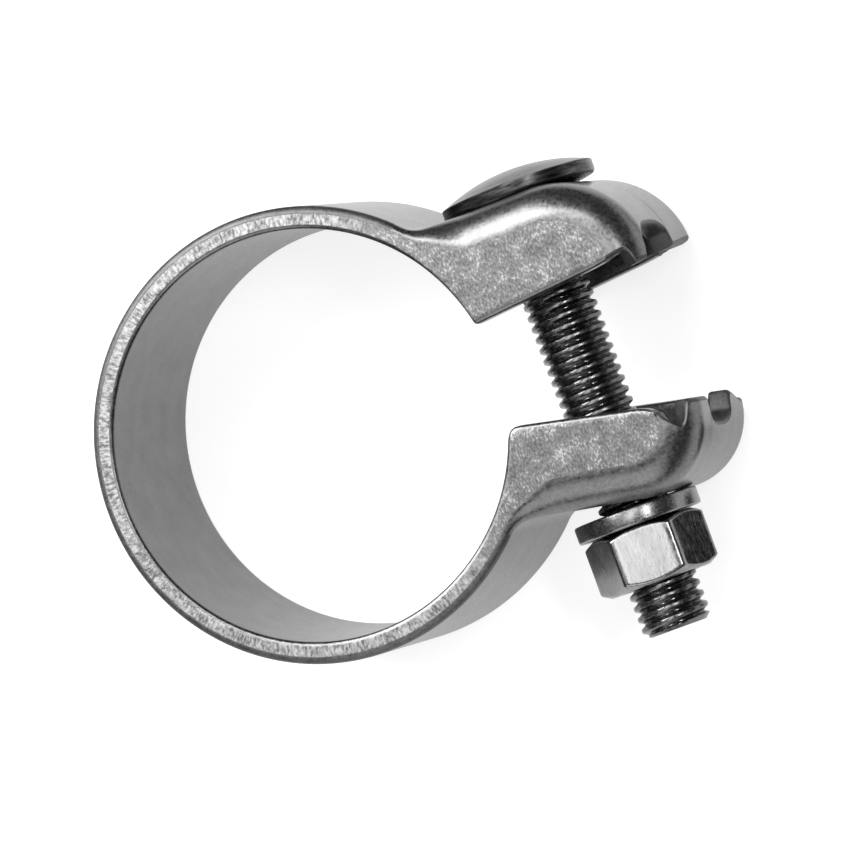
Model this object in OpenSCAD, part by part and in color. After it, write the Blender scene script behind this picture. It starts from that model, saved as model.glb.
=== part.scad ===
// Exhaust clamp: one pressed strip of steel with an open ring and two channel
// shaped ears, drawn together by a round head bolt with a lock washer and a nut.
// The ring's axis is Z, its middle is the origin, and the bolt lies along Y.

/* [Band] */
// Inside diameter of the ring, the pipe that it grips
bore_d = 45; // [42:0.5:52]
// Thickness of the strip
sheet_t = 2.5; // [2:0.1:3]
// Width of the strip, edge to edge
strip_w = 25; // [24:0.5:32]
// Inner radius of the bend where an ear leaves the ring
root_r = 3; // [2:0.5:5]

/* [Ears] */
// Distance from the ring's outer face to the bolt's axis
bolt_gap = 3.35; // [3:0.05:6]
// Outer radius of the bend between a web and its two flanges
flange_bend_r = 4; // [3.5:0.1:5]
// Length over which that bend fades out beside the ring
bend_runout = 4.5; // [3:0.5:6]
// Height of the upper web's outer face above the ring's middle
upper_web_h = 16.6; // [15:0.1:18]
// Distance of the upper ear's end from the bolt's axis
upper_reach = 14; // [13:0.1:16]
// Outer radius of the upper ear's rounded end
upper_nose_r = 10.5; // [8:0.1:11]
// Depth of the upper flanges at the bolt, from the web's outer face
upper_flange_h = 11.4; // [10.6:0.1:12.5]
// Tilt of the upper flanges' rims against the web
upper_rim_tilt = 4.5; // [0:0.5:8]
// Height of the lower web's outer face below the ring's middle, at the bolt
lower_web_h = 18.45; // [17:0.05:20]
// Distance of the lower ear's end from the bolt's axis
lower_reach = 12; // [11.5:0.1:14]
// Outer radius of the lower ear's rounded end
lower_nose_r = 8; // [7:0.1:10]
// Depth of the lower flanges at the bolt, from the web's outer face
lower_flange_h = 9.9; // [9:0.1:11]
// Tilt of the lower flanges' rims against the web
lower_rim_tilt = 2.5; // [0:0.5:6]
// Outward tilt of the lower ear, away from square to the bolt
lower_tilt = 9.8; // [6:0.1:12]

/* [Reliefs] */
// Width of the relief at each corner of an ear's end, at the rim
relief_w = 3.6; // [2:0.1:4]
// Depth of the upper ear's two reliefs
upper_relief_h = 1; // [0.8:0.1:4]
// Depth of the lower ear's two reliefs
lower_relief_h = 3; // [1:0.1:4]
// Width of the notch in the rim of the upper ear's end
upper_notch_w = 11; // [5:0.1:12]
// Depth of that notch
upper_notch_h = 2.6; // [1.5:0.1:3.5]
// Distance of that notch from the strip's middle, towards +Z
upper_notch_z = 2.4; // [-2.5:0.1:2.5]
// Width of the notch in the rim of the lower ear's end
lower_notch_w = 9.4; // [5:0.1:12]
// Depth of that notch
lower_notch_h = 2.8; // [1.5:0.1:3.5]
// Distance of that notch from the strip's middle, towards +Z
lower_notch_z = 0.4; // [-2.5:0.1:2.5]

/* [Bolt] */
// Thread diameter
bolt_d = 7.9; // [6:0.1:8]
// Length below the head
bolt_l = 50; // [45:1:60]
// Chamfer at the bolt's end
bolt_chamfer = 0.7; // [0.3:0.1:1]
// Head diameter
head_d = 17.4; // [16:0.1:20]
// Head height
head_h = 3.4; // [2.8:0.1:4.5]
// Height of the straight rim below the head's dome
head_rim_h = 1; // [0.5:0.1:1.5]
// Width of the square neck below the head
neck_w = 8; // [8:0.1:9]
// Depth of the square neck below the head
neck_h = 4.2; // [3:0.1:5]
// Clearance round the square neck
neck_gap = 0.2; // [0.1:0.05:0.5]
// Diameter of the round hole in the lower ear
hole_d = 10; // [9.5:0.1:11]

/* [Washer and nut] */
// Outside diameter of the lock washer
washer_d = 14.1; // [13:0.1:16]
// Clearance between the bolt and the washer's bore
washer_gap = 0.25; // [0.1:0.05:0.5]
// Thickness of the lock washer
washer_t = 2; // [1.5:0.1:2.5]
// Width of the washer's slanted split
split_w = 0.9; // [0.5:0.1:1.5]
// Slant of that split
split_slant = 20; // [0:1:30]
// Width of the nut across its flats
nut_af = 12; // [12:0.1:14]
// Height of the nut
nut_h = 6.5; // [5.5:0.1:7]
// Diameter of the round face inside the nut's chamfer
nut_face_d = 11.4; // [11:0.1:11.9]
// Angle of the chamfer on the nut's corners
nut_chamfer = 30; // [20:1:35]
// Turn of the nut about the bolt, from a flat that faces +Z
nut_turn = 10.9; // [0:0.1:30]
// Radial clearance between the nut's bore and the thread
nut_gap = 0.05; // [0.02:0.01:0.1]
// Gap left between faces that press together
seat_gap = 0.1; // [0.05:0.05:0.2]

/* [Hidden] */
$fn = 96;
bore_r = bore_d / 2;
ring_r = bore_r + sheet_t;
half_w = strip_w / 2;
bolt_x = ring_r + bolt_gap;
eps = 0.01;
far = 100;
// Where the tilted lower web, rounded at its end, first meets a square face
washer_y = lower_web_h + (lower_reach - lower_nose_r) * sin(lower_tilt)
         + lower_nose_r * (1 - cos(lower_tilt)) + seat_gap;
nut_y = washer_y + washer_t + seat_gap;

// Places of the ring's middle, along and below an ear's web, in the ear's frame
function ring_along(web_h, tilt) = bolt_x * cos(tilt) + web_h * sin(tilt);
function ring_below(web_h, tilt) = web_h * cos(tilt) - bolt_x * sin(tilt);
// Place along the web where the root bend ends, in the ear's frame, to a thousandth
function root_along(web_h, tilt) =
    round(1000 * (sqrt(pow(ring_r + root_r, 2) - pow(ring_below(web_h, tilt) + root_r, 2))
                  - ring_along(web_h, tilt))) / 1000;

// An ear's frame: X along its web, Y out of its outer face, Z along the ring
module upper_frame() {
    translate([bolt_x, upper_web_h, 0]) children();
}

module lower_frame() {
    mirror([0, 1, 0]) translate([bolt_x, lower_web_h, 0]) rotate(lower_tilt) children();
}

// Section of a channel filled solid, with its two outer corners rounded
module channel_section(depth, hw, corner) {
    translate([0, -hw + corner]) square([depth, 2 * (hw - corner)]);
    translate([0, -hw]) square([depth - corner, 2 * hw]);
    for (side = [-1, 1])
        translate([depth - corner, side * (hw - corner)]) circle(corner);
}

// Channel with a rounded end, filled solid, from start along the web to reach
module filled_channel(start, reach, nose_r, depth, hw, corner) {
    translate([start, -depth, 0]) rotate([90, 0, 90])
        linear_extrude(reach - nose_r - start) channel_section(depth, hw, corner);
    translate([reach - nose_r, -nose_r, 0]) rotate_extrude(angle = 90)
        channel_section(nose_r, hw, corner);
    translate([reach - nose_r, -nose_r, 0]) rotate([90, 0, 0])
        linear_extrude(depth - nose_r) channel_section(nose_r, hw, corner);
}

// Stretch of an ear where its two outer corners grow round, filled solid
module bend_start(start, depth) {
    hull() {
        translate([start, -depth, -half_w]) cube([eps, depth, strip_w]);
        translate([start + bend_runout - eps, -depth, 0]) rotate([90, 0, 90])
            linear_extrude(eps) channel_section(depth, half_w, flange_bend_r);
    }
}

// Outside of an ear, filled solid, cut off at its slanting rim
module ear_outside(web_h, reach, nose_r, flange_h, rim_tilt, tilt) {
    root = root_along(web_h, tilt);
    depth = flange_h + flange_bend_r;
    difference() {
        union() {
            filled_channel(root + bend_runout, reach, nose_r, depth, half_w, flange_bend_r);
            bend_start(root, depth);
            translate([root - ring_r / 2, -depth, -half_w])
                cube([ring_r / 2, depth, strip_w]);
            // Runs through the joints of these three, below their faces
            translate([root - sheet_t, -depth, -half_w + sheet_t / 2])
                cube([bend_runout + 2 * sheet_t, depth - sheet_t / 2, strip_w - sheet_t]);
            root_fillet(web_h, tilt);
        }
        translate([0, -flange_h, 0]) rotate(rim_tilt)
            translate([-far / 2, -far, -far / 2]) cube([far, far, far]);
    }
}

// Fillet on the outside of the bend where the web leaves the ring
module root_fillet(web_h, tilt) {
    a = ring_along(web_h, tilt);
    u = ring_below(web_h, tilt);
    c = [root_along(web_h, tilt), root_r];
    to_c = [c[0] + a, c[1] + u] / (ring_r + root_r);
    translate([0, 0, -half_w]) linear_extrude(strip_w) difference() {
        polygon([[-a, -u] + to_c * ring_r, c, [c[0], 0],
                 [c[0], -sheet_t / 2], [-a, -u] + to_c * (ring_r - sheet_t / 2)]);
        translate(c) circle(root_r);
    }
}

// Hollow of an ear, with the rounded inside of its root bend
module ear_hollow(web_h, reach, nose_r, flange_h, tilt) {
    a = ring_along(web_h, tilt);
    u = ring_below(web_h, tilt);
    c = [root_along(web_h, tilt), root_r];
    bend = root_r + sheet_t;
    to_ring = -[c[0] + a, c[1] + u] / (ring_r + root_r);
    translate([0, -sheet_t, 0])
        filled_channel(c[0] - sheet_t, reach - sheet_t, nose_r - sheet_t, flange_h + flange_bend_r,
                       half_w - sheet_t, flange_bend_r - sheet_t);
    translate([0, 0, -half_w + sheet_t]) linear_extrude(strip_w - 2 * sheet_t) difference() {
        polygon([c, c + to_ring * (bend + sheet_t),
                 [c[0] - sheet_t / 2, c[1] - bend - 2 * sheet_t], [c[0], c[1] - bend - sheet_t]]);
        translate(c) circle(bend);
    }
}

// Reliefs at the two corners of an ear's end, each a V up to relief_h above the rim
module corner_reliefs(reach, flange_h, rim_tilt, relief_h) {
    rim = -flange_h + (reach - flange_bend_r) * tan(rim_tilt);
    for (side = [-1, 1])
        translate([reach - flange_bend_r, rim, side * (half_w - flange_bend_r)])
            rotate([0, -45 * side, 0]) rotate([90, 0, 90])
                linear_extrude(2 * flange_bend_r)
                    polygon([[-relief_h, -relief_w], [relief_h, 0], [-relief_h, relief_w]]);
}

// Round notch in the rim of an ear's end
module rim_notch(reach, flange_h, rim_tilt, notch_w, notch_h, notch_z) {
    rim = -flange_h + (reach - flange_bend_r) * tan(rim_tilt);
    r = (pow(notch_w / 2, 2) + pow(notch_h, 2)) / (2 * notch_h);
    translate([reach - 2 * sheet_t, rim + notch_h - r, notch_z])
        rotate([0, 90, 0]) cylinder(h = 4 * sheet_t, r = r);
}

// Ring, open between the two ears
module open_ring() {
    upper = asin(ring_below(upper_web_h, 0) / ring_r);
    lower = asin(ring_below(lower_web_h, lower_tilt) / ring_r) + lower_tilt;
    difference() {
        translate([0, 0, -half_w]) cylinder(h = strip_w, r = ring_r, $fn = 180);
        translate([0, 0, -half_w - 1]) linear_extrude(strip_w + 2)
            polygon([[0, 0], far * [cos(upper), sin(upper)], [2 * far, 0],
                     far * [cos(lower), -sin(lower)]]);
    }
}

module clamp_band() {
    color("silver") difference() {
        union() {
            open_ring();
            upper_frame()
                ear_outside(upper_web_h, upper_reach, upper_nose_r, upper_flange_h,
                            upper_rim_tilt, 0);
            lower_frame()
                ear_outside(lower_web_h, lower_reach, lower_nose_r, lower_flange_h,
                            lower_rim_tilt, lower_tilt);
        }
        upper_frame() {
            ear_hollow(upper_web_h, upper_reach, upper_nose_r, upper_flange_h, 0);
            corner_reliefs(upper_reach, upper_flange_h, upper_rim_tilt, upper_relief_h);
            rim_notch(upper_reach, upper_flange_h, upper_rim_tilt, upper_notch_w,
                      upper_notch_h, upper_notch_z);
            hole_w = neck_w + 2 * neck_gap;
            translate([-hole_w / 2, -2 * sheet_t, -hole_w / 2])
                cube([hole_w, 4 * sheet_t, hole_w]);
        }
        lower_frame() {
            ear_hollow(lower_web_h, lower_reach, lower_nose_r, lower_flange_h, lower_tilt);
            corner_reliefs(lower_reach, lower_flange_h, lower_rim_tilt, lower_relief_h);
            rim_notch(lower_reach, lower_flange_h, lower_rim_tilt, lower_notch_w,
                      lower_notch_h, lower_notch_z);
            rotate([90, 0, 0]) cylinder(h = 4 * sheet_t, d = hole_d, center = true);
        }
        translate([0, 0, -half_w - 1]) cylinder(h = strip_w + 2, r = bore_r, $fn = 180);
    }
}

// The bolt's frame: Z out of the head along the bolt, its origin under the head
module bolt_frame() {
    translate([bolt_x, upper_web_h, 0]) rotate([-90, 0, 0]) children();
}

module bolt() {
    rise = head_h - head_rim_h;
    dome_r = (pow(head_d / 2, 2) + pow(rise, 2)) / (2 * rise);
    color("dimgray") bolt_frame() {
        cylinder(h = head_rim_h, d = head_d);
        intersection() {
            translate([0, 0, head_h - dome_r]) sphere(dome_r);
            translate([0, 0, head_rim_h - eps]) cylinder(h = rise + 1, d = head_d);
        }
        translate([-neck_w / 2, -neck_w / 2, -neck_h]) cube([neck_w, neck_w, neck_h + eps]);
        translate([0, 0, -bolt_l + bolt_chamfer])
            cylinder(h = bolt_l - bolt_chamfer, d = bolt_d);
        translate([0, 0, -bolt_l])
            cylinder(h = bolt_chamfer, d1 = bolt_d - 2 * bolt_chamfer, d2 = bolt_d);
    }
}

// A frame on the bolt's axis at a distance below the ring's middle, Z away from the ear
module below_frame(y) {
    translate([bolt_x, -y, 0]) rotate([90, 0, 0]) children();
}

module lock_washer() {
    color("gray") below_frame(washer_y) difference() {
        cylinder(h = washer_t, d = washer_d);
        translate([0, 0, -1]) cylinder(h = washer_t + 2, r = bolt_d / 2 + washer_gap);
        translate([-washer_d / 2, 0, washer_t / 2]) rotate([split_slant, 0, 0])
            cube([washer_d, split_w, 4 * washer_t], center = true);
    }
}

module hex_nut() {
    corner_r = nut_af / 2 / cos(30);
    // Profile of the turned blank, wider than the hexagon between its two chamfers
    blank_r = corner_r + 1;
    edge = (blank_r - nut_face_d / 2) * tan(nut_chamfer);
    color("darkgray") below_frame(nut_y) difference() {
        intersection() {
            rotate(-nut_turn) cylinder(h = nut_h, r = corner_r, $fn = 6);
            rotate_extrude() polygon([[0, 0], [nut_face_d / 2, 0], [blank_r, edge],
                                      [blank_r, nut_h - edge], [nut_face_d / 2, nut_h],
                                      [0, nut_h]]);
        }
        translate([0, 0, -1]) cylinder(h = nut_h + 2, r = bolt_d / 2 + nut_gap);
    }
}

clamp_band();
bolt();
lock_washer();
hex_nut();
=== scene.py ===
import math

import bmesh
import bpy
from mathutils import Matrix, Vector


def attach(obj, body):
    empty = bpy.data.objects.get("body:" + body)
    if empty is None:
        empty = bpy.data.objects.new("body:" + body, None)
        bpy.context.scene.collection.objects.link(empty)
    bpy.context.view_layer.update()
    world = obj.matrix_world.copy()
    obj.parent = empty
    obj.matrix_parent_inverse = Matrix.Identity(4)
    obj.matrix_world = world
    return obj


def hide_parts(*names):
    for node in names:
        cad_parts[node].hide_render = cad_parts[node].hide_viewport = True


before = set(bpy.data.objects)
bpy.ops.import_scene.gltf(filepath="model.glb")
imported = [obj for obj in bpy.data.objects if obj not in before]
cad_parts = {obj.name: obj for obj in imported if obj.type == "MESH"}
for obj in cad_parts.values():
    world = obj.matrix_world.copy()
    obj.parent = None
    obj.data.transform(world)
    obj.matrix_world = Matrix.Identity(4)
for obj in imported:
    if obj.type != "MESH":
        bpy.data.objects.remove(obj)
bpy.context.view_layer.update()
mm = 0.001


def hexToLinear(code):  # sRGB hex to the linear colour that the shaders want
    parts = [int(code[i:i + 2], 16) / 255 for i in (1, 3, 5)]
    return tuple(p / 12.92 if p <= 0.04045 else ((p + 0.055) / 1.055) ** 2.4 for p in parts) + (1.0,)


def addNode(tree, kind, settings=None, **links):  # one node, its settings, and what feeds it
    node = tree.nodes.new(kind)
    for key, value in (settings or {}).items():
        if hasattr(node, key):
            setattr(node, key, value)
        else:
            node.inputs[int(key) if key.isdigit() else key].default_value = value
    for key, source in links.items():
        name = key.replace("_", " ")
        socket = node.inputs[int(name[2:])] if name.startswith("in") else node.inputs[name]
        tree.links.new(source, socket)
    return node


def smooth(t):
    t = min(1.0, max(0.0, t))
    return t * t * (3 - 2 * t)


def finishPiece(name, verts, faces, body, node):
    mesh = bpy.data.meshes.new(name)
    mesh.from_pydata([tuple(c * mm for c in v) for v in verts], [], faces)
    piece = bpy.data.objects.new(name, mesh)
    bpy.context.scene.collection.objects.link(piece)
    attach(piece, body)
    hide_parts(node)
    return piece


def applyModifiers(piece):  # leaves a plain mesh on the piece
    graph = bpy.context.evaluated_depsgraph_get()
    done = bpy.data.meshes.new_from_object(piece.evaluated_get(graph))
    piece.modifiers.clear()
    piece.data = done


def shadeSmooth(piece, angle):  # smooth shading, with edges past the angle kept sharp
    piece.data.shade_smooth()
    piece.data.set_sharp_from_angle(angle=math.radians(angle))


# The camera stands where the photograph's did, a long way off
cameraView = {
    "azimuth": 17.50,     # degrees to the right of the ring's axis
    "elevation": 3.30,    # degrees above it, with the photograph upright
    "roll": 21.0,         # turn of the bolt against the photograph's upright
    "distance": 705.0,    # mm from the ring's middle
    "focal": 6374.0,      # pixels, for a picture 850 wide
    "ringAt": (342.7, 429.5),  # pixel of the ring's middle
    "picture": 850,
}


def placeCamera():
    v = cameraView
    az, el, roll = (math.radians(v[k]) for k in ("azimuth", "elevation", "roll"))
    back = Vector((math.sin(az) * math.cos(el), -math.cos(az) * math.cos(el), math.sin(el)))
    right = Vector((math.cos(az), math.sin(az), 0))
    up = right.cross(-back)

    def toPart(p):  # upright picture axes to the part's axes, where the ring's axis is Z
        return Vector((math.cos(roll) * p.x + math.sin(roll) * p.z,
                       -math.sin(roll) * p.x + math.cos(roll) * p.z, -p.y))

    mid = v["picture"] / 2
    aim = (-back + right * ((mid - v["ringAt"][0]) / v["focal"])
           + up * ((v["ringAt"][1] - mid) / v["focal"]))
    look, upright = toPart(aim).normalized(), toPart(up)
    side = look.cross(upright).normalized()
    upright = side.cross(look)
    data = bpy.data.cameras.new("camera")
    data.sensor_width = 36
    data.lens = 36 * v["focal"] / v["picture"]
    data.clip_start, data.clip_end = 0.05, 20
    camera = bpy.data.objects.new("camera", data)
    bpy.context.scene.collection.objects.link(camera)
    turn = Matrix((side, upright, -look)).transposed().to_4x4()
    camera.matrix_world = Matrix.Translation(toPart(back) * v["distance"] * mm) @ turn
    bpy.context.scene.camera = camera


placeCamera()
print("camera placed")

# The strip: one pressed band, lofted as closed half sections from one nose to the other
band = {
    "bore": 22.5,          # inner radius of the ring
    "sheet": 2.5,          # thickness of the strip
    "half": 12.5,          # half the strip's width
    "root": 3.0,           # inner radius of the bend beside the ring
    "boltX": 28.35,
    "bend": 4.0,           # outer radius between web and flange
    "edge": 0.85,          # rounded outer border of the sheared edge
    "rimRound": 0.45,      # rounding of the other edges
    "bendGrow": 6.9,       # length over which the flange bend opens
    "rimShare": 0.62,      # share of a flange's rim that lies before its nose
    "evenOver": 1.4,       # flange height, in sheets, at which the inner rows are all its own
    "thinEdge": 2.2,       # an edge thinner than this many roundings stays sharp
    "webRows": 24, "bendRows": 24, "flangeRows": 12, "cornerRows": 3, "edgeRows": 3,
    "ringStep": 2.0,       # degrees between sections round the ring
    "mouthSteps": 24, "webSteps": 18, "noseSteps": 26, "lipSteps": 4,
}
upperEar = {
    "height": 16.6, "tilt": 0.0, "reach": 14.0, "noseRadius": 10.5, "depth": 11.4,
    "rimSlope": 4.5, "mouthEnd": -4.5, "flangeEnd": 9.9, "lipRound": 0.35, "endRound": 3.0,
    "relief": 0.36, "reliefApex": 0.66, "reliefWall": 0.16, "flangeLift": 0.22,
    "nearTab": -1.35, "farTab": -0.35, "farCorner": 0.1,
    "notch": 2.5, "notchWidth": 11.2, "notchAt": 4.2, "side": 1,
}
lowerEar = {
    "height": 18.45, "tilt": 9.8, "reach": 12.0, "noseRadius": 8.0, "depth": 9.9,
    "rimSlope": 2.5, "mouthEnd": -4.5, "flangeEnd": 7.6, "lipRound": 1.4, "endRound": 2.2,
    "relief": 2.35, "reliefApex": 0.6, "reliefWall": 0.22, "flangeLift": 0.7,
    "nearTab": -0.3, "farTab": -0.5, "farCorner": 0.6,
    "notch": 2.7, "notchWidth": 9.6, "notchAt": 0.9, "side": -1,
}


def earToPart(ear, p):  # an ear's own frame to the part's X and Y
    t = math.radians(ear["tilt"])
    x = band["boltX"] + p.x * math.cos(t) - p.y * math.sin(t)
    y = ear["height"] + p.x * math.sin(t) + p.y * math.cos(t)
    return x, y * ear["side"]


def rimRows(tip, tipIn, rim):  # down a flange's outside, round its rim and up its inside
    b = band
    c = b["rimRound"]
    out, inner = (rim - tip).normalized() * c, (rim - tipIn).normalized() * c
    rows = []
    for k in range(1, b["flangeRows"] + 1):
        rows.append((tip.lerp(rim - out, k / b["flangeRows"]), b["half"]))
    for k in range(1, b["cornerRows"] + 1):
        q = math.pi / 2 * k / b["cornerRows"]
        rows.append((rim - out * (1 - math.sin(q)), b["half"] - c * (1 - math.cos(q))))
    for k in range(1, b["edgeRows"]):
        rows.append((rim, b["half"] - c - (b["sheet"] - 2 * c) * k / b["edgeRows"]))
    for k in range(b["cornerRows"], 0, -1):
        q = math.pi / 2 * k / b["cornerRows"]
        rows.append((rim - inner * (1 - math.sin(q)),
                     b["half"] - b["sheet"] + c * (1 - math.cos(q))))
    for k in range(b["flangeRows"] + 1):
        rows.append(((rim - inner).lerp(tipIn, k / b["flangeRows"]), b["half"] - b["sheet"]))
    return rows


def closedHalf(top, normal, bend, innerBend, rim):
    # one half section: over the outside, round the rim and back along the inside
    b, t = band, band["sheet"]
    inside = top - normal * t
    rows = []
    for k in range(b["webRows"] + 1):
        rows.append((top, (b["half"] - bend) * k / b["webRows"]))
    for k in range(1, b["bendRows"] + 1):
        q = math.pi / 2 * k / b["bendRows"]
        rows.append((top - normal * bend * (1 - math.cos(q)),
                     b["half"] - bend + bend * math.sin(q)))
    outEnd, inEnd = top - normal * bend, inside - normal * innerBend
    rows += rimRows(outEnd, inEnd, rim)
    for k in range(1, b["bendRows"] + 1):
        q = math.pi / 2 * (1 - k / b["bendRows"])
        rows.append((inside - normal * innerBend * (1 - math.cos(q)),
                     b["half"] - t - innerBend + innerBend * math.sin(q)))
    for k in range(b["webRows"] - 1, -1, -1):
        rows.append((inside, (b["half"] - t - innerBend) * k / b["webRows"]))
    # where there is no flange yet, the inner rows spread evenly over the bore
    even = 1 - smooth((rim - inEnd).length / (b["evenOver"] * t))
    first = 1 + b["webRows"] + b["bendRows"] + b["flangeRows"] + b["cornerRows"]
    for k in range(first, len(rows)) if even > 0 else ():
        z = (b["half"] - b["rimRound"]) * (1 - (k - first + 1) / (len(rows) - first))
        p = rim.lerp(inside, smooth((b["half"] - z) / (2 * t)))
        rows[k] = (rows[k][0].lerp(p, even), rows[k][1] + (z - rows[k][1]) * even)
    return rows


def rimUp(ear, a):
    return -ear["depth"] + a * math.tan(math.radians(ear["rimSlope"]))


def rimCut(ear, row, side):  # how far the rim of the nose stands above its line, by outer row
    b = band
    flat = b["half"] - b["bend"]
    share = max(0.0, (row - b["webRows"]) / b["bendRows"])  # 0 beside the nose, 1 beside the flange
    z = (flat * min(1.0, row / b["webRows"]) + b["bend"] * math.sin(share * math.pi / 2)) * side
    off = min(1.0, abs(z - ear["notchAt"]) / (ear["notchWidth"] / 2))
    notch = (1 - off ** 3) ** (1 / 3)
    edge = ear["notchAt"] - ear["notchWidth"] / 2
    other, turn = ear["nearTab"], (z - edge) / ear["notchWidth"]
    if z < edge:
        other, turn = ear["farCorner"], (edge - z) / (edge + flat)
    tab = ear["farTab"] + (other - ear["farTab"]) * smooth(turn)
    tab += (ear["notch"] - tab) * notch
    apex = ear["reliefApex"]
    if share < apex:
        return tab + (ear["relief"] - tab) * smooth(1 - (apex - share) / ear["reliefWall"])
    fall = (share - apex) / (1 - apex)
    return ear["relief"] - (ear["relief"] - ear["flangeLift"]) * fall ** 1.5


def nosePoint(ear, radius, q):  # a turn of q about the nose's axis, then straight down
    ca, cu = ear["reach"] - ear["noseRadius"], -ear["noseRadius"]
    if q < math.pi / 2:
        return Vector((ca + radius * math.sin(q), cu + radius * math.cos(q)))
    return Vector((ca + radius, cu - (q - math.pi / 2) * ear["noseRadius"]))


def noseEnd(ear, radius, cut):  # the turn at which a row of the nose meets its rim
    low, high = 0.0, math.pi
    for _ in range(40):
        mid = (low + high) / 2
        p = nosePoint(ear, radius, mid)
        if p.y > rimUp(ear, p.x) + cut:
            low = mid
        else:
            high = mid
    return low


def earPlan(ear):  # where the root bend, the lip and the rim of an ear lie, in its own frame
    b = band
    tilt = math.radians(ear["tilt"])
    ring = Vector((-(b["boltX"] * math.cos(tilt) + ear["height"] * math.sin(tilt)),
                   -(ear["height"] * math.cos(tilt) - b["boltX"] * math.sin(tilt))))
    far = b["bore"] + b["sheet"] + b["root"]
    root = Vector((ring.x + math.sqrt(far ** 2 - (b["root"] - ring.y) ** 2), b["root"]))
    leave = math.atan2(root.y - ring.y, root.x - ring.x)
    low, high = math.radians(-60), leave
    for _ in range(40):
        mid = (low + high) / 2
        p = ring + Vector((math.cos(mid), math.sin(mid))) * b["bore"]
        if p.y > rimUp(ear, p.x):
            high = mid
        else:
            low = mid
    return ring, root, leave, low


def roundedLip(ear, ring, lipAngle):  # the corner between the bore and the rim, rounded off
    b = band
    corner = ring + Vector((math.cos(lipAngle), math.sin(lipAngle))) * b["bore"]
    upBore = Vector((-math.sin(lipAngle), math.cos(lipAngle)))
    slope = math.radians(ear["rimSlope"])
    along = Vector((math.cos(slope), math.sin(slope)))
    start, end = corner + upBore * ear["lipRound"], corner + along * ear["lipRound"]
    points = []
    for k in range(1, b["lipSteps"]):
        f = k / b["lipSteps"]
        points.append(start * (1 - f) ** 2 + corner * 2 * f * (1 - f) + end * f * f)
    return start, points, end


def earSections(ear, side):
    b = band
    ring, root, leave, lipAngle = earPlan(ear)
    start, lipPoints, rimStart = roundedLip(ear, ring, lipAngle)
    arc = b["root"] * (math.pi / 2 - leave)
    total = arc + ear["mouthEnd"] - root.x
    startAngle = math.atan2(start.y - ring.y, start.x - ring.x)
    sections = []
    count = b["mouthSteps"] + b["lipSteps"]
    for i in range(count + 1):
        s = total * i / count
        if s < arc:
            turn = leave + s / b["root"]
            normal = Vector((math.cos(turn), math.sin(turn)))
            top = root - normal * b["root"]
        else:
            normal = Vector((0, 1))
            top = Vector((root.x + s - arc, 0))
        grow = smooth(s / b["bendGrow"])
        if i <= b["mouthSteps"]:
            beta = leave + (startAngle - leave) * i / b["mouthSteps"]
            rim = ring + Vector((math.cos(beta), math.sin(beta))) * b["bore"]
        elif i < count:
            rim = lipPoints[i - b["mouthSteps"] - 1]
        else:
            rim = rimStart
        sections.append(closedHalf(top, normal, b["edge"] + (b["bend"] - b["edge"]) * grow,
                                   (b["bend"] - b["sheet"]) * grow, rim))
    noseStart = ear["reach"] - ear["noseRadius"]
    rimMid = rimStart.x + (ear["flangeEnd"] - rimStart.x) * b["rimShare"]
    for i in range(1, b["webSteps"] + 1):
        f = i / b["webSteps"]
        a = ear["mouthEnd"] + (noseStart - ear["mouthEnd"]) * f
        rimA = rimStart.x + (rimMid - rimStart.x) * f
        sections.append(closedHalf(Vector((a, 0)), Vector((0, 1)), b["bend"],
                                   b["bend"] - b["sheet"], Vector((rimA, rimUp(ear, rimA)))))
    # the nose: every row turns about the nose's axis until it meets its own rim
    outer = b["webRows"] + b["bendRows"]
    flat = sections[-1]
    last = len(flat) - 1
    endCut = rimCut(ear, outer, side)
    for i in range(1, b["noseSteps"] + 1):
        f = i / b["noseSteps"]
        rimA = rimMid + (ear["flangeEnd"] - rimMid) * f
        near = max(0.0, 1 - (ear["flangeEnd"] - rimA) / ear["endRound"])
        rim = Vector((rimA, rimUp(ear, rimA) + endCut * (1 - math.sqrt(max(0.0, 1 - near ** 2)))))
        ends = []
        for row in list(range(outer + 1)) + list(range(last - outer, last + 1)):
            drop = ear["noseRadius"] + flat[row][0].y
            cut = rimCut(ear, row if row <= outer else last - row, side)
            ends.append(nosePoint(ear, drop, noseEnd(ear, drop, cut) * f))
        rows = [(ends[k], flat[k][1]) for k in range(outer + 1)]
        rows += rimRows(ends[outer], ends[outer + 1], rim)
        for k in range(1, outer + 1):
            rows.append((ends[outer + 1 + k], flat[last - outer + k][1]))
        sections.append(rows)
    placed = [[Vector(earToPart(ear, p) + (z,)) for p, z in rows] for rows in sections]
    return roundEnd(placed), math.degrees(leave) + ear["tilt"]


def roundEnd(placed):  # takes the two edges off the cut end of a nose
    c = band["rimRound"]
    thin = band["thinEdge"] * c
    before, end = placed[-2], placed[-1]
    last = len(end) - 1
    forward = [(q - p).normalized() for p, q in zip(before, end)]
    inward = []
    for k in range(last + 1):
        across = end[last - k] - end[k]
        inward.append(across.normalized() if across.length > thin else Vector((0, 0, 0)))
    placed[-1] = [p - f * c for p, f in zip(end, forward)]
    for q in (30, 60, 90):
        q = math.radians(q)
        placed.append([p - f * c * (1 - math.sin(q)) + n * c * (1 - math.cos(q))
                       for p, f, n in zip(end, forward, inward)])
    return placed


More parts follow.
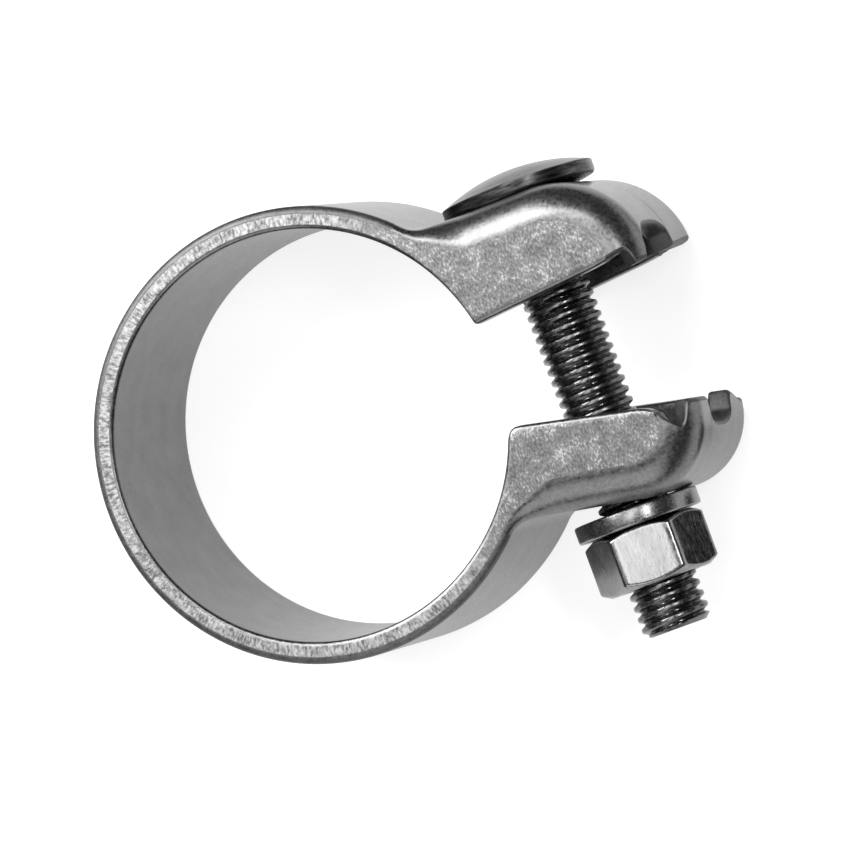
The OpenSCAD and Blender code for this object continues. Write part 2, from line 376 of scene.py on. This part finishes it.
def buildBand():
    b = band
    verts, faces, kinds = [], [], []
    outer = b["webRows"] + b["bendRows"]
    rimRow = outer + b["flangeRows"]
    for side in (1, -1):
        upper, upperAngle = earSections(upperEar, side)
        lower, lowerAngle = earSections(lowerEar, side)
        sweep = 360 - upperAngle - lowerAngle
        steps = round(sweep / b["ringStep"])
        ring = []
        for i in range(1, steps):
            q = math.radians(upperAngle + sweep * i / steps)
            d = Vector((math.cos(q), math.sin(q)))
            rows = closedHalf(d * (b["bore"] + b["sheet"]), d, b["edge"], 0.0, d * b["bore"])
            ring.append([Vector((p.x, p.y, z)) for p, z in rows])
        stations = upper[::-1] + ring + lower
        count = len(stations[0])
        base = len(verts)
        for rows in stations:
            verts += [(p.x, p.y, p.z * side) for p in rows]
        first, afterRing = len(upper) - 1, len(upper) + len(ring)
        for s in range(len(stations) - 1):
            for k in range(count - 1):
                o = base + s * count + k
                face = [o, o + 1, o + count + 1, o + count]
                # the cut ends of the noses and their rounded edges take the dark cut steel: painted shade
                # inside the notches and reliefs, which also paints out the highlight the roundings would
                # catch
                if s < 3 or s >= len(stations) - 4:
                    kinds.append("cut")
                elif outer <= k < rimRow:
                    kinds.append("flange")
                elif b["webRows"] <= k < outer and first < s < afterRing:
                    kinds.append("border")
                else:
                    kinds.append("strip")
                faces.append(face if side == 1 else face[::-1])
        for s, flip in ((0, False), (len(stations) - 1, True)):  # the cut end of each nose
            for k in range(count // 2):
                o, i = base + s * count + k, base + s * count + count - 1 - k
                if o + 1 > i - 1:
                    continue
                face = [o, i, i - 1, o + 1] if i - 1 > o + 1 else [o, i, o + 1]
                kinds.append("cut")
                faces.append(face if (side == 1) != flip else face[::-1])
    piece = finishPiece("band", verts, faces, "clamp", "clamp_band")
    order = {"strip": 0, "flange": 1, "border": 2, "cut": 3}
    for polygon, kind in zip(piece.data.polygons, kinds):
        polygon.material_index = order[kind]
    return piece


def tidyMesh(piece, weld):  # welds doubled points and turns every face outward
    bm = bmesh.new()
    bm.from_mesh(piece.data)
    bmesh.ops.remove_doubles(bm, verts=bm.verts, dist=weld * mm)
    bmesh.ops.dissolve_degenerate(bm, edges=bm.edges, dist=weld * 0.5 * mm)
    bmesh.ops.recalc_face_normals(bm, faces=bm.faces)
    loose = sum(1 for e in bm.edges if len(e.link_faces) != 2)
    bm.to_mesh(piece.data)
    bm.free()
    print(piece.name, "welded,", loose, "edges without two faces")


def cutHole(piece, cutter):
    cut = piece.modifiers.new("hole", "BOOLEAN")
    cut.operation = "DIFFERENCE"
    cut.solver = "EXACT"
    cut.object = cutter
    applyModifiers(piece)
    bpy.data.objects.remove(cutter)


def makePrism(centre, axis, radius, height, sides, turn):  # a plain cutter
    bpy.ops.mesh.primitive_cylinder_add(vertices=sides, radius=radius * mm, depth=height * mm)
    cutter = bpy.context.object
    cutter.data.transform(Matrix.Rotation(math.radians(turn), 4, "Z"))
    cutter.data.transform(axis.to_track_quat("Z", "Y").to_matrix().to_4x4())
    cutter.data.transform(Matrix.Translation(Vector(centre) * mm))
    cutter.data.update()
    return cutter


holes = {"square": 8.4, "round": 10.0, "reach": 8.0}
bandPiece = buildBand()
tidyMesh(bandPiece, 0.002)
lean = math.radians(lowerEar["tilt"])
cutHole(bandPiece, makePrism((band["boltX"], upperEar["height"], 0), Vector((0, 1, 0)),
                             holes["square"] / math.sqrt(2), holes["reach"], 4, 45))
cutHole(bandPiece, makePrism((band["boltX"], -lowerEar["height"], 0),
                             Vector((math.sin(lean), math.cos(lean), 0)),
                             holes["round"] / 2, holes["reach"], 96, 0))
shadeSmooth(bandPiece, 40)
print("band built:", len(bandPiece.data.polygons), "faces")

# The bolt: a turned head, a square neck and a rolled thread along the whole shank
boltShape = {
    "x": band["boltX"], "seat": upperEar["height"], "length": 50.0,
    "major": 7.86, "minor": 6.65, "pitch": 1.25,
    "neck": 8.0, "neckDepth": 4.2, "headDiameter": 17.4, "headHeight": 3.4, "rimHeight": 1.5,
    "rimRound": 0.5, "chamfer": 0.7, "around": 72, "perPitch": 14,
    "crestFlat": 1.35, "rootFlat": 0.02,  # how wide the thread's crest and root are
    "rimSpread": 0.6, "rimDrop": 0.35,    # the rim's upper rounding, as shares of rimRound
    "neckCorner": 1.32,                   # reach of the neck's worn corners, in half widths
    "domeRings": 14, "rimRings": 4, "seatRings": 3, "domeTip": 0.05,
}


def threadRadius(phase, major, minor):  # a rolled thread, rounded at crest and root
    s = boltShape
    rise = 1 - abs(2 * (phase % 1.0) - 1)
    return (minor + (major - minor) * smooth(s["crestFlat"] * rise - s["rootFlat"])) / 2


def lathe(rings, around, closeEnds=True):  # rings of points, joined into a solid
    verts, faces = [], []
    for ring in rings:
        verts += ring
    n = len(rings)
    for i in range(n - 1):
        for j in range(around):
            k = (j + 1) % around
            faces.append([i * around + j, i * around + k, (i + 1) * around + k, (i + 1) * around + j])
    if closeEnds:
        faces.append(list(range(around))[::-1])
        faces.append([(n - 1) * around + j for j in range(around)])
    return verts, faces


def buildBolt():
    s = boltShape
    around = s["around"]
    rings = []

    def ring(y, radiusAt):
        pts = []
        for j in range(around):
            q = 2 * math.pi * j / around
            r = radiusAt(q)
            pts.append((s["x"] + r * math.cos(q), y, r * math.sin(q)))
        rings.append(pts)

    rise = s["headHeight"] - s["rimHeight"]
    headR = s["headDiameter"] / 2
    dome = (headR ** 2 + rise ** 2) / (2 * rise)
    top = s["seat"] + s["headHeight"]
    spread = s["rimRound"] * s["rimSpread"]
    ring(top, lambda q: s["domeTip"])
    for k in range(1, s["domeRings"] + 1):
        r = (headR - spread) * k / s["domeRings"]
        ring(top - dome + math.sqrt(dome ** 2 - r * r), lambda q, r=r: r)
    edgeTop = s["seat"] + s["rimHeight"]
    for k in range(1, s["rimRings"] + 1):
        q = math.pi / 2 * k / s["rimRings"]
        ring(edgeTop + s["rimRound"] * s["rimDrop"] * (1 - math.sin(q)),
             lambda a, q=q: headR - spread * (1 - math.sin(q)))
    for k in range(s["seatRings"] + 1):
        q = math.pi / 2 * k / s["seatRings"]
        ring(s["seat"] + s["rimRound"] * (1 - math.sin(q)),
             lambda a, q=q: headR - s["rimRound"] * (1 - math.cos(q)))

    def square(a):
        half = s["neck"] / 2
        c = max(abs(math.cos(a)), abs(math.sin(a)))
        return min(half / c, half * s["neckCorner"])

    ring(s["seat"], square)
    ring(s["seat"] - s["neckDepth"], square)
    low = s["seat"] - s["length"]
    high = s["seat"] - s["neckDepth"]
    count = round((high - low) / s["pitch"] * s["perPitch"])
    for i in range(count + 1):
        y = high - (high - low) * i / count
        limit = (s["major"] / 2 - s["chamfer"]) + (y - low)
        ring(y, lambda a, y=y, limit=limit: min(
            limit, threadRadius(y / s["pitch"] + a / (2 * math.pi), s["major"], s["minor"])))
    verts, faces = lathe(rings, around)
    faces = [f[::-1] for f in faces]
    return finishPiece("bolt_body", verts, faces, "clamp", "bolt")


boltPiece = buildBolt()
shadeSmooth(boltPiece, 32)
print("bolt built:", len(boltPiece.data.polygons), "faces")

# The nut: a hexagon turned back to a cone at both ends
nutShape = {
    "x": band["boltX"], "start": 21.449, "height": 6.5, "flats": 12.0, "face": 11.4, "chamfer": 30.0,
    "turn": 10.9, "bore": 4.0, "sink": 0.5, "round": 0.3, "around": 240, "rows": 44,
    "wear": 0.06,  # taken off the hexagon's corners
}


def softMin(a, b, k):  # the lesser of two, with the corner between them rounded over k
    h = max(0.0, min(1.0, 0.5 + 0.5 * (b - a) / k))
    return b * (1 - h) + a * h - k * h * (1 - h)


def buildNut():
    s = nutShape
    around = s["around"]
    rings = []

    def ring(depth, radiusAt):
        rings.append([(s["x"] + radiusAt(q) * math.sin(q), -(s["start"] + depth),
                       radiusAt(q) * math.cos(q))
                      for q in (2 * math.pi * j / around for j in range(around))])

    def hexRadius(q):
        w = (math.degrees(q) - s["turn"] + 30) % 60 - 30
        flat = s["flats"] / 2 / math.cos(math.radians(w))
        corner = s["flats"] / 2 / math.cos(math.radians(30)) - s["wear"]
        return softMin(flat, corner, s["round"])

    def outside(depth):
        near = min(depth, s["height"] - depth)
        cone = s["face"] / 2 + near / math.tan(math.radians(s["chamfer"]))
        return lambda q: softMin(hexRadius(q), cone, s["round"])

    ring(s["sink"], lambda q: s["bore"])
    ring(0, lambda q: s["bore"] + s["sink"])
    depths = [0.5 - 0.5 * math.cos(math.pi * k / s["rows"]) for k in range(s["rows"] + 1)]
    for d in depths:
        ring(d * s["height"], outside(d * s["height"]))
    ring(s["height"], lambda q: s["bore"] + s["sink"])
    ring(s["height"] - s["sink"], lambda q: s["bore"])
    verts, faces = lathe(rings, around, closeEnds=False)
    n = len(rings)
    for j in range(around):
        k = (j + 1) % around
        faces.append([(n - 1) * around + j, (n - 1) * around + k, k, j])
    return finishPiece("nut", verts, faces, "nut", "hex_nut")


nutPiece = buildNut()
shadeSmooth(nutPiece, 38)
print("nut built:", len(nutPiece.data.polygons), "faces")

# The lock washer: a square wire wound into one turn and cut on a slant
washerShape = {
    "x": band["boltX"], "start": 19.35, "thick": 2.0, "outer": 7.05, "inner": 4.2, "gap": 0.9,
    "slant": 20.0, "round": 0.28, "steps": 120, "cornerSteps": 4,
}


def buildWasher():
    s = washerShape
    r0, r1, t, c = s["inner"], s["outer"], s["thick"], s["round"]
    outline = []
    corners = ((r1 - c, c, -90), (r1 - c, t - c, 0), (r0 + c, t - c, 90), (r0 + c, c, 180))
    for cx, cy, start in corners:
        for k in range(s["cornerSteps"] + 1):
            q = math.radians(start + 90 * k / s["cornerSteps"])
            outline.append((cx + c * math.cos(q), cy + c * math.sin(q)))
    verts, faces = [], []
    m = len(outline)
    for i in range(s["steps"] + 1):
        for r, h in outline:
            gap = s["gap"] / r
            shear = (h - t / 2) * math.tan(math.radians(s["slant"])) / r
            q = math.pi + gap / 2 + (2 * math.pi - gap) * i / s["steps"] + shear
            verts.append((s["x"] + r * math.cos(q), -(s["start"] + h), r * math.sin(q)))
    for i in range(s["steps"]):
        for k in range(m):
            n = (k + 1) % m
            faces.append([i * m + k, i * m + n, (i + 1) * m + n, (i + 1) * m + k])
    faces.append(list(range(m))[::-1])
    faces.append([s["steps"] * m + k for k in range(m)])
    return finishPiece("split_washer", verts, faces, "washer", "lock_washer")


washerPiece = buildWasher()
shadeSmooth(washerPiece, 35)
print("washer built")

for piece in (boltPiece, nutPiece, washerPiece):
    tidyMesh(piece, 0.0005)


def newMaterial(name):
    material = bpy.data.materials.new(name)
    material.use_nodes = True
    tree = material.node_tree
    tree.nodes.clear()
    return material, tree


def mixColours(tree, share, dark, light):
    mix = addNode(tree, "ShaderNodeMix", {"data_type": "RGBA"}, in0=share)
    mix.inputs[6].default_value = hexToLinear(dark)
    mix.inputs[7].default_value = hexToLinear(light)
    return mix.outputs[2]


# how grain shows in the gloss and in the surface of every grainy metal
grainShape = {"smoother": 0.06, "rougher": 0.08, "depth": 0.2}  # depth in grains


def grainyMetal(name, look):
    # dark and light patches of two sizes, with fine grain in the gloss and the surface
    material, tree = newMaterial(name)
    place = addNode(tree, "ShaderNodeTexCoord").outputs["Object"]
    if "stretch" in look:
        place = addNode(tree, "ShaderNodeMapping", {"Scale": look["stretch"]}, Vector=place).outputs[0]
    fine = addNode(tree, "ShaderNodeTexNoise", {"Scale": 1 / (look["grain"] * mm), "Detail": 3.0,
                                                "Roughness": 0.6}, Vector=place).outputs["Fac"]
    broad = addNode(tree, "ShaderNodeTexNoise", {"Scale": 1 / (look["patch"] * mm), "Detail": 2.0},
                    Vector=place).outputs["Fac"]
    both = addNode(tree, "ShaderNodeMath", {"operation": "MULTIPLY_ADD", "1": look["patchShare"]},
                   in0=broad, in2=fine).outputs[0]
    middle = 0.5 + 0.5 * look["patchShare"]
    share = addNode(tree, "ShaderNodeMapRange", {"1": middle - look["spread"],
                                                 "2": middle + look["spread"]}, in0=both).outputs[0]
    colour = mixColours(tree, share, look["dark"], look["light"])
    gloss = addNode(tree, "ShaderNodeMapRange", {"1": 0.3, "2": 0.7,
                                                 "3": look["rough"] - grainShape["smoother"],
                                                 "4": look["rough"] + grainShape["rougher"]},
                    in0=fine).outputs[0]
    depth = look["grain"] * grainShape["depth"] * mm
    lift = addNode(tree, "ShaderNodeBump", {"Strength": look["bump"], "Distance": depth},
                   Height=fine).outputs[0]
    shader = addNode(tree, "ShaderNodeBsdfPrincipled", {"Metallic": 1.0}, Base_Color=colour,
                     Roughness=gloss, Normal=lift)
    addNode(tree, "ShaderNodeOutputMaterial", Surface=shader.outputs[0])
    return material


def flankMetal(name, look):
    # on the ring the blade leaves short bright tears across the sheet, and where the flanges
    # begin the die has pressed them flat, with rubbed streaks
    material, tree = newMaterial(name)
    place = addNode(tree, "ShaderNodeTexCoord").outputs["Object"]
    parts = addNode(tree, "ShaderNodeSeparateXYZ", None, in0=place).outputs
    turn = addNode(tree, "ShaderNodeMath", {"operation": "ARCTAN2"}, in0=parts[1],
                   in1=parts[0]).outputs[0]
    along = addNode(tree, "ShaderNodeMath", {"operation": "MULTIPLY", "1": look["radius"] * mm},
                    in0=turn).outputs[0]
    flat = addNode(tree, "ShaderNodeVectorMath", {"operation": "MULTIPLY", "1": (1, 1, 0)}, in0=place)
    out = addNode(tree, "ShaderNodeVectorMath", {"operation": "LENGTH"},
                  in0=flat.outputs[0]).outputs["Value"]
    across = addNode(tree, "ShaderNodeMath", {"operation": "MULTIPLY", "1": look["tearStretch"]},
                     in0=out).outputs[0]
    unrolled = addNode(tree, "ShaderNodeCombineXYZ", None, in0=along, in1=across).outputs[0]
    tears = addNode(tree, "ShaderNodeTexNoise", {"Scale": 1 / (look["tear"] * mm), "Detail": 3.0,
                                                 "Roughness": 0.6}, Vector=unrolled).outputs["Fac"]
    patches = addNode(tree, "ShaderNodeTexNoise", {"Scale": 1 / (look["patch"] * mm), "Detail": 2.0},
                      Vector=place).outputs["Fac"]
    both = addNode(tree, "ShaderNodeMath", {"operation": "MULTIPLY_ADD", "1": look["tornPatch"]},
                   in0=patches, in2=tears).outputs[0]
    shade = {"1": look["shadeFrom"], "2": look["shadeTo"]}
    share = addNode(tree, "ShaderNodeMapRange", shade, in0=both).outputs[0]
    torn = mixColours(tree, share, look["tornDark"], look["tornLight"])

    leaned = addNode(tree, "ShaderNodeMapping", {"Rotation": (0, 0, math.radians(look["lean"])),
                                                 "Scale": (1, look["streak"], 1)}, Vector=place).outputs[0]
    streaks = addNode(tree, "ShaderNodeTexNoise", {"Scale": 1 / (look["rub"] * mm), "Detail": 3.0,
                                                   "Roughness": 0.65}, Vector=leaned).outputs["Fac"]
    mixed = addNode(tree, "ShaderNodeMath", {"operation": "MULTIPLY_ADD", "1": look["flatPatch"]},
                    in0=patches, in2=streaks).outputs[0]
    share = addNode(tree, "ShaderNodeMapRange", shade, in0=mixed).outputs[0]
    pressed = mixColours(tree, share, look["flatDark"], look["flatLight"])
    amount = addNode(tree, "ShaderNodeMapRange", {"1": look["fleckFrom"],
                                                  "2": look["fleckFrom"] + look["fleckFade"]},
                     in0=mixed).outputs[0]
    flecked = addNode(tree, "ShaderNodeMix", {"data_type": "RGBA"}, in0=amount)
    tree.links.new(pressed, flecked.inputs[6])
    flecked.inputs[7].default_value = hexToLinear(look["fleck"])

    edge = addNode(tree, "ShaderNodeMath", {"operation": "MULTIPLY_ADD", "1": look["wander"] * mm},
                   in0=patches, in2=parts[0]).outputs[0]
    onFlange = addNode(tree, "ShaderNodeMapRange", {"1": look["ringUpTo"] * mm,
                                                    "2": look["flangeFrom"] * mm}, in0=edge).outputs[0]
    colour = addNode(tree, "ShaderNodeMix", {"data_type": "RGBA"}, in0=onFlange)
    tree.links.new(torn, colour.inputs[6])
    tree.links.new(flecked.outputs[2], colour.inputs[7])
    height = addNode(tree, "ShaderNodeMix", {}, in0=onFlange, in2=tears, in3=streaks)
    lift = addNode(tree, "ShaderNodeBump", {"Strength": look["bump"], "Distance": look["relief"] * mm},
                   Height=height.outputs[0])
    shader = addNode(tree, "ShaderNodeBsdfPrincipled", {"Metallic": 1.0, "Roughness": look["rough"]},
                     Base_Color=colour.outputs[2], Normal=lift.outputs[0])
    addNode(tree, "ShaderNodeOutputMaterial", Surface=shader.outputs[0])
    return material


def turnedMetal(name, look):
    # fine rings left by the die or the tool, about the bolt's axis
    material, tree = newMaterial(name)
    place = addNode(tree, "ShaderNodeTexCoord").outputs["Object"]
    centred = addNode(tree, "ShaderNodeVectorMath", {"operation": "SUBTRACT",
                                                           "1": (boltShape["x"] * mm, 0, 0)},
                      in0=place).outputs[0]
    parts = addNode(tree, "ShaderNodeSeparateXYZ", None, in0=centred).outputs
    turn = addNode(tree, "ShaderNodeMath", {"operation": "ARCTAN2"}, in0=parts[2], in1=parts[0]).outputs[0]
    along = addNode(tree, "ShaderNodeMath", {"operation": "MULTIPLY", "1": look["turnShare"] * mm},
                    in0=turn).outputs[0]
    flat = addNode(tree, "ShaderNodeVectorMath", {"operation": "MULTIPLY", "1": (1, 0, 1)}, in0=centred)
    out = addNode(tree, "ShaderNodeVectorMath", {"operation": "LENGTH"},
                  in0=flat.outputs[0]).outputs["Value"]
    unrolled = addNode(tree, "ShaderNodeCombineXYZ", None, in0=along, in1=out, in2=parts[1]).outputs[0]
    rings = addNode(tree, "ShaderNodeTexNoise", {"Scale": 1 / (look["ring"] * mm), "Detail": 3.0,
                                                 "Roughness": 0.6}, Vector=unrolled).outputs["Fac"]
    share = addNode(tree, "ShaderNodeMapRange", {"1": look["shadeFrom"], "2": look["shadeTo"]},
                    in0=rings).outputs[0]
    colour = mixColours(tree, share, look["dark"], look["light"])
    lift = addNode(tree, "ShaderNodeBump", {"Strength": look["bump"], "Distance": look["relief"] * mm},
                   Height=rings)
    shader = addNode(tree, "ShaderNodeBsdfPrincipled", {"Metallic": 1.0, "Roughness": look["rough"]},
                     Base_Color=colour, Normal=lift.outputs[0])
    addNode(tree, "ShaderNodeOutputMaterial", Surface=shader.outputs[0])
    return material


finish = {
    # zinc plated strip steel, burnished where the die formed it: even satin grey
    "zincStrip": {"dark": "#4c4c4c", "light": "#767676", "grain": 0.36, "patch": 3.0,
                  "patchShare": 0.4, "spread": 0.28, "rough": 0.32, "bump": 0.02},
    # sheared edge of the ring, bright and torn, running into the flanges' pressed flats
    "flank": {"radius": 23.5, "tear": 0.3, "tearStretch": 0.45, "patch": 1.8,
              "tornDark": "#545454", "tornLight": "#a0a0a0", "ringUpTo": 12.0, "flangeFrom": 19.0,
              "lean": 20, "streak": 0.6, "rub": 0.24, "flatDark": "#4a4a4a", "flatLight": "#707070",
              "fleck": "#9c9c9c", "fleckFrom": 0.83,
              "fleckFade": 0.13, "tornPatch": 0.4, "flatPatch": 0.5, "shadeFrom": 0.55,
              "shadeTo": 0.85, "wander": 4.0, "rough": 0.42, "bump": 0.35, "relief": 0.06},
    # the sheet's outer border, drawn in by the blade: dull grey
    "drawnBorder": {"dark": "#464646", "light": "#666666", "grain": 0.3, "patch": 1.5,
                    "patchShare": 0.5, "spread": 0.25, "rough": 0.5, "bump": 0.5},
    # bare cut steel inside the notches and reliefs: dull, and dark partly as painted shade for the shade
    # that falls inside the notches and reliefs
    "cutSteelAndShade": {"dark": "#3c3c3c", "light": "#5e5e5e", "grain": 0.3, "patch": 2.0,
                 "patchShare": 0.5, "spread": 0.3, "rough": 0.5, "bump": 0.4},
    # dark phosphated steel with a rolled thread: dark with sharp glints on the crests
    "darkBolt": {"dark": "#4c4c4c", "light": "#707070", "grain": 0.4, "patch": 2.0,
                 "patchShare": 0.5, "spread": 0.3, "rough": 0.26, "bump": 0.02},
    # the same steel on the upset head, with rings from the die round its rim
    "darkHead": {"dark": "#1e1e1e", "light": "#585858", "ring": 0.3, "turnShare": 1.0,
                 "shadeFrom": 0.35, "shadeTo": 0.68, "rough": 0.32, "bump": 0.35, "relief": 0.06},
    # zinc plated nut, drawn hexagon bar: light with fine scratches along the bar
    "zincNut": {"dark": "#606060", "light": "#8e8e8e", "grain": 0.3, "patch": 1.6,
                "patchShare": 0.4, "spread": 0.3, "rough": 0.2, "bump": 0.12,
                "stretch": (1, 0.3, 1)},
    # hardened spring steel, plain and dull grey
    "springSteel": {"dark": "#606060", "light": "#8a8a8a", "grain": 0.3, "patch": 2.0,
                    "patchShare": 0.5, "spread": 0.3, "rough": 0.26, "bump": 0.2},
}
# the cut steel's dark colour is partly painted shade inside the notches and reliefs
for name, kind in (("zinc_plated_strip", "zincStrip"), ("sheared_zinc_flank", "flank"),
                   ("drawn_border", "drawnBorder"), ("cut_steel", "cutSteelAndShade")):
    make = flankMetal if kind == "flank" else grainyMetal
    bandPiece.data.materials.append(make(name, finish[kind]))
boltPiece.data.materials.append(grainyMetal("phosphated_bolt_steel", finish["darkBolt"]))
boltPiece.data.materials.append(turnedMetal("phosphated_bolt_head", finish["darkHead"]))
for polygon in boltPiece.data.polygons:
    polygon.material_index = 1 if polygon.center.y > boltShape["seat"] * mm else 0
nutPiece.data.materials.append(grainyMetal("zinc_plated_nut", finish["zincNut"]))
washerPiece.data.materials.append(grainyMetal("spring_steel", finish["springSteel"]))
print("materials made")

# A plain pale floor under soft boxes, with dark cards that only the metal's gloss sees
studio = {
    "floorHalf": 1.5, "floorColour": "#a0a0a0", "floorGlow": 0.75, "world": "#606060",
    "cardLift": 0.5,  # mm that the cards lie above the floor
    "cards": {  # their corners on the floor
        "card_back": ((-0.5, 0.052), (0.5, 0.5)),
        "card_side": ((0.0595, -0.016), (0.066, 0.05)),
        "card_nut": ((0.046, -0.034), (0.066, -0.018)),
    },
    "lamps": {  # where it stands, its two sides, and how bright its face is
        "top": ((0.075, 0.05, 0.65), (0.16, 0.26), 6.0),
        "over": ((-0.19, 0.05, 0.65), (0.24, 0.24), 1.0),
        "back": ((-0.25, 0.38, 0.42), (0.40, 0.56), 12.0),
        "corner": ((0.14, 0.37, 0.59), (0.3, 0.16), 9.0),
        "front": ((-0.13, -0.5, 0.42), (0.5, 0.62), 2.2),
        "side": ((0.41, 0.03, 0.60), (0.26, 0.07), 26.0),
    },
}


def addSheet(name, corners, height):
    mesh = bpy.data.meshes.new(name)
    (x0, y0), (x1, y1) = corners
    mesh.from_pydata([(x0, y0, height), (x1, y0, height), (x1, y1, height), (x0, y1, height)],
                     [], [(0, 1, 2, 3)])
    sheet = bpy.data.objects.new(name, mesh)
    bpy.context.scene.collection.objects.link(sheet)
    return sheet


def buildStudio():
    low = -band["half"] * mm
    h = studio["floorHalf"]
    floor = addSheet("floor", ((-h, -h), (h, h)), low)
    material, tree = newMaterial("white_paper")  # matt, and white to the camera and in the gloss
    path = addNode(tree, "ShaderNodeLightPath")
    seen = addNode(tree, "ShaderNodeMath", {"operation": "MAXIMUM"},
                   in0=path.outputs["Is Camera Ray"], in1=path.outputs["Is Glossy Ray"])
    seen = addNode(tree, "ShaderNodeMath", {"operation": "MAXIMUM"}, in0=seen.outputs[0],
                   in1=path.outputs["Is Transmission Ray"])
    glow = addNode(tree, "ShaderNodeMath", {"operation": "MULTIPLY", "1": studio["floorGlow"]},
                   in0=seen.outputs[0])
    shader = addNode(tree, "ShaderNodeBsdfPrincipled",
                     {"Base Color": hexToLinear(studio["floorColour"]), "Roughness": 0.9,
                      "Emission Color": (1, 1, 1, 1)}, Emission_Strength=glow.outputs[0])
    addNode(tree, "ShaderNodeOutputMaterial", Surface=shader.outputs[0])
    floor.data.materials.append(material)

    black, tree = newMaterial("black_card")
    shader = addNode(tree, "ShaderNodeBsdfPrincipled", {"Base Color": hexToLinear("#101010"),
                                                        "Roughness": 0.9})
    addNode(tree, "ShaderNodeOutputMaterial", Surface=shader.outputs[0])
    for name, corners in studio["cards"].items():
        card = addSheet(name, corners, low + studio["cardLift"] * mm)
        card.data.materials.append(black)
        for ray in ("camera", "diffuse", "transmission", "shadow", "volume_scatter"):
            setattr(card, "visible_" + ray, False)

    world = bpy.data.worlds.new("studio")
    bpy.context.scene.world = world
    world.use_nodes = True
    tree = world.node_tree  # white behind the floor's far edge, grey in the metal
    path = addNode(tree, "ShaderNodeLightPath")
    colour = mixColours(tree, path.outputs["Is Camera Ray"], studio["world"], "#ffffff")
    tree.links.new(colour, tree.nodes["Background"].inputs[0])
    aim = Vector((0.02, 0, 0))
    for name, (where, sides, bright) in studio["lamps"].items():
        data = bpy.data.lights.new(name, "AREA")
        data.shape = "RECTANGLE"
        data.size, data.size_y = sides
        data.energy = bright * math.pi * sides[0] * sides[1]
        lamp = bpy.data.objects.new(name, data)
        bpy.context.scene.collection.objects.link(lamp)
        lamp.location = where
        lamp.rotation_euler = (aim - Vector(where)).to_track_quat("-Z", "Y").to_euler()


buildStudio()
bpy.context.scene.view_settings.view_transform = "Standard"
print("studio lit")
